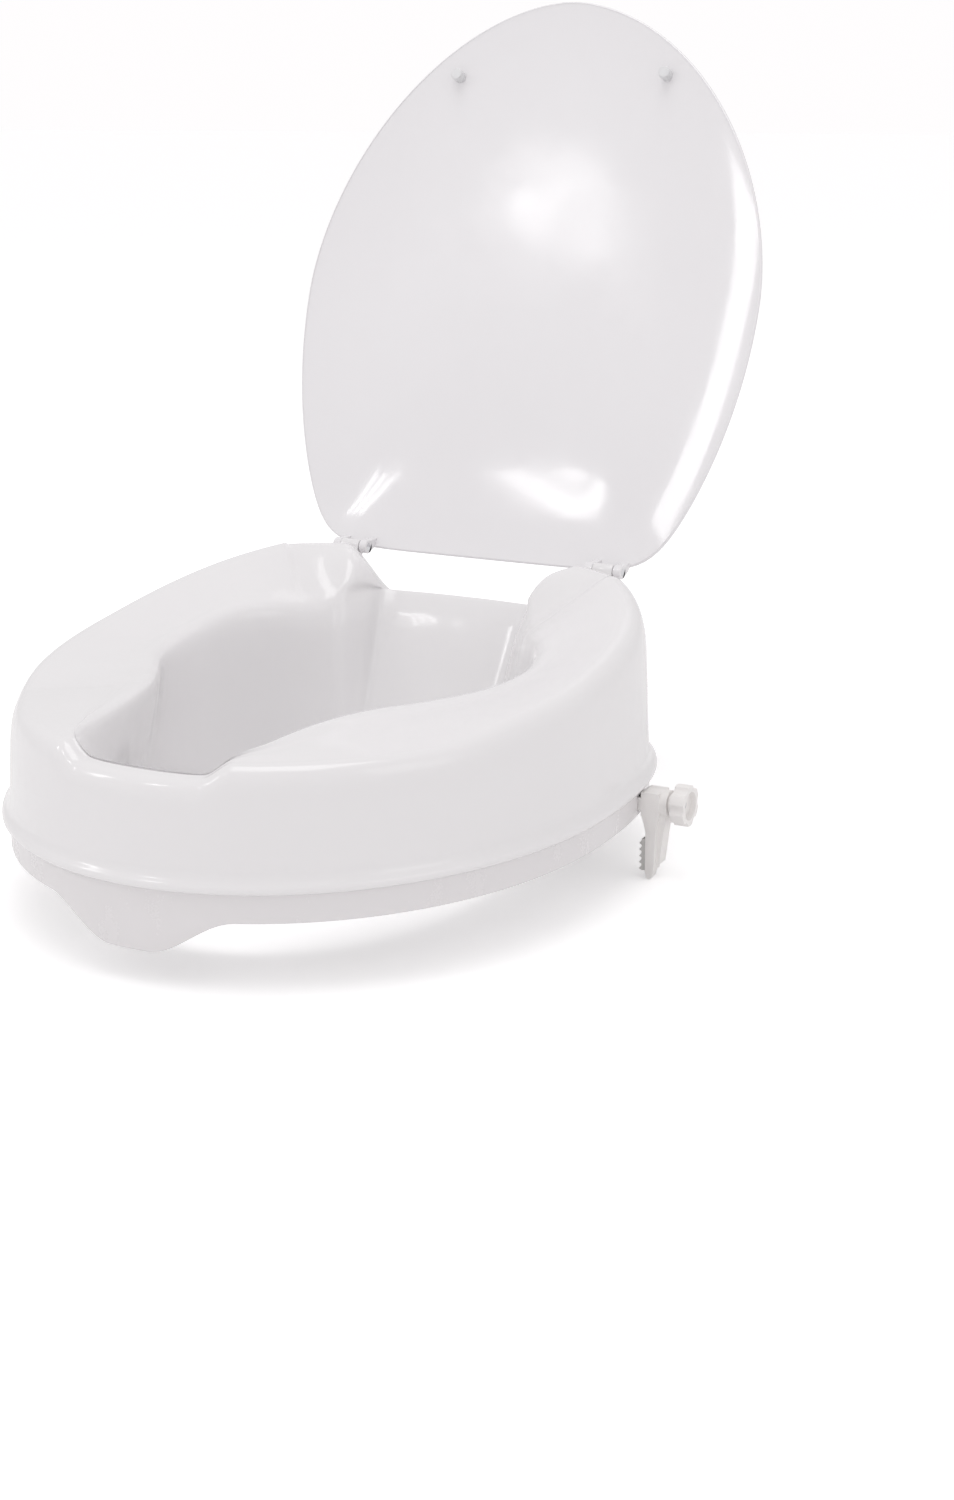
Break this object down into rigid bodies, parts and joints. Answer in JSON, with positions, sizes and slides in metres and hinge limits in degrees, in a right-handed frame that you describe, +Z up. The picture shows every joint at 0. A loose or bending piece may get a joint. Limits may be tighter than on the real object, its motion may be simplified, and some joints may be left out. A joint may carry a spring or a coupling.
{
  "type": "raised toilet seat with lid",
  "caption": "White moulded raised toilet seat with a hinged lid, standing open, and two screw clamps at the sides that grip the bowl's rim.",
  "frame": {"origin": "on the plane of the four rest pads, on the centre line, below the seat's widest line", "axes": "+Z up, +Y towards the hinge at the back, +X to the right for someone who faces the front of the seat"},
  "size_m": [0.4146, 0.5521, 0.5148],
  "materials": {
    "gloss_white_plastic": "glossy moulded polypropylene, faint draw lines",
    "lid_plastic": "high-gloss moulded lid",
    "buffer_plastic": "semi-gloss buffer studs",
    "clamp_plastic": "satin warm white nylon",
    "knob_plastic": "satin warm white, ribbed grip",
    "pad_rubber": "soft pale grip rubber",
    "zinc_steel": "zinc-plated fastener steel",
    "hinge_steel": "bright turned pins"
  },
  "bodies": {
    "base": {"seat_shell": "gloss_white_plastic", "base_ring": "gloss_white_plastic", "rest_pad_front_left": "pad_rubber", "rest_pad_front_right": "pad_rubber", "rest_pad_rear_left": "pad_rubber", "rest_pad_rear_right": "pad_rubber", "ring_screws": "zinc_steel", "hinge_post_left": "gloss_white_plastic", "hinge_post_right": "gloss_white_plastic", "hinge_post_screws": "zinc_steel", "hinge_pin_left": "hinge_steel", "hinge_pin_right": "hinge_steel", "clamp_nut_left": "zinc_steel", "clamp_nut_right": "zinc_steel"},
    "lid": {"lid": "lid_plastic", "lid_buffer_left": "buffer_plastic", "lid_buffer_right": "buffer_plastic"},
    "bracket_left": {"clamp_bracket_left": "clamp_plastic", "clamp_pad_left": "pad_rubber"},
    "knob_left": {"clamp_knob_left": "knob_plastic", "clamp_screw_left": "zinc_steel", "clamp_washer_left": "clamp_plastic", "clamp_clip_left": "zinc_steel"},
    "bracket_right": {"clamp_bracket_right": "clamp_plastic", "clamp_pad_right": "pad_rubber"},
    "knob_right": {"clamp_knob_right": "knob_plastic", "clamp_screw_right": "zinc_steel", "clamp_washer_right": "clamp_plastic", "clamp_clip_right": "zinc_steel"}
  },
  "joints": [
    {"name": "lid_hinge", "type": "hinge", "parent": "base", "child": "lid", "pos_m": [0, 0.1865, 0.1183], "axis": [1, 0, 0], "range_deg": [0, 116.8]},
    {"name": "bracket_left_slide", "type": "slide", "parent": "base", "child": "bracket_left", "axis": [-1, 0, 0], "range_m": [0, 0.01]},
    {"name": "knob_left_turn", "type": "hinge", "parent": "bracket_left", "child": "knob_left", "pos_m": [-0.2, 0.065, 0.0095], "axis": [-1, 0, 0], "range_deg": [0, 1205]},
    {"name": "bracket_right_slide", "type": "slide", "parent": "base", "child": "bracket_right", "axis": [1, 0, 0], "range_m": [0, 0.01]},
    {"name": "knob_right_turn", "type": "hinge", "parent": "bracket_right", "child": "knob_right", "pos_m": [0.2, 0.065, 0.0095], "axis": [1, 0, 0], "range_deg": [0, 1205]}
  ],
  "couplings": [
    {"joint": "knob_left_turn", "follows": "bracket_left_slide", "rad_per_m": 2094.4},
    {"joint": "knob_right_turn", "follows": "bracket_right_slide", "rad_per_m": 2094.4}
  ]
}
